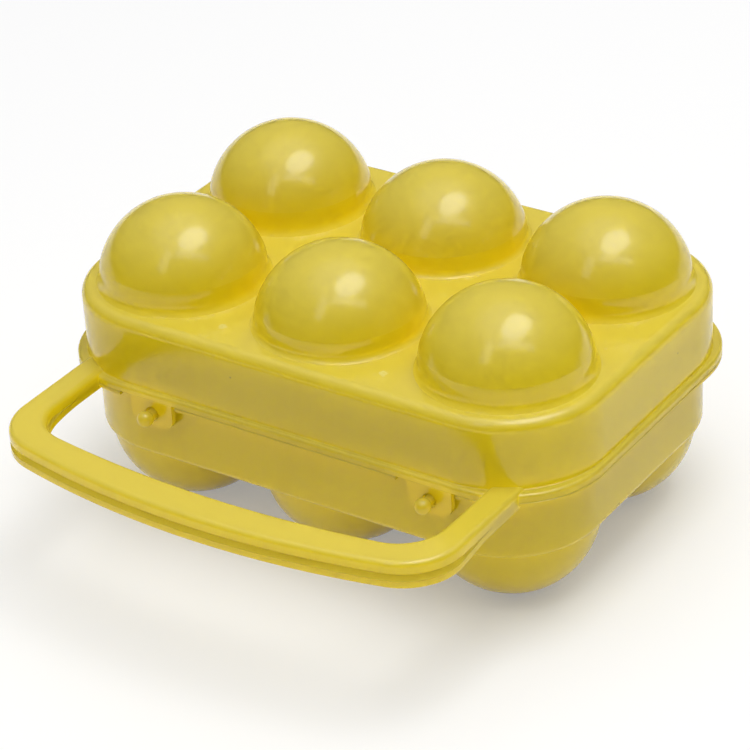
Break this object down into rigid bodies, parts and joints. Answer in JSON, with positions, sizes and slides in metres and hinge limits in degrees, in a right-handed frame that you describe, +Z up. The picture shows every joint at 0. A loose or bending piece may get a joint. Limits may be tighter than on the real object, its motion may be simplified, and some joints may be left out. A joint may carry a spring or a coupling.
{
  "type": "egg carrier",
  "caption": "Clamshell egg carrier: domed lid over a base of round cups, joined by a rear snap hinge, with button latches and a two-part bail handle at the front.",
  "frame": {"origin": "on the table, under the middle of the six feet", "axes": "+X along a row of three cups, -Y towards the handle and latches, +Z up"},
  "size_m": [0.1644, 0.1637, 0.089],
  "materials": {
    "lid_plastic": "glossy, slightly translucent yellow",
    "base_plastic": "glossy, slightly translucent yellow"
  },
  "bodies": {
    "base": {"base": "base_plastic"},
    "lid": {"lid": "lid_plastic"}
  },
  "joints": [
    {"name": "lid_hinge", "type": "hinge", "parent": "base", "child": "lid", "pos_m": [0, 0.0596, 0.0446], "axis": [-1, 0, 0], "range_deg": [0, 180]}
  ]
}
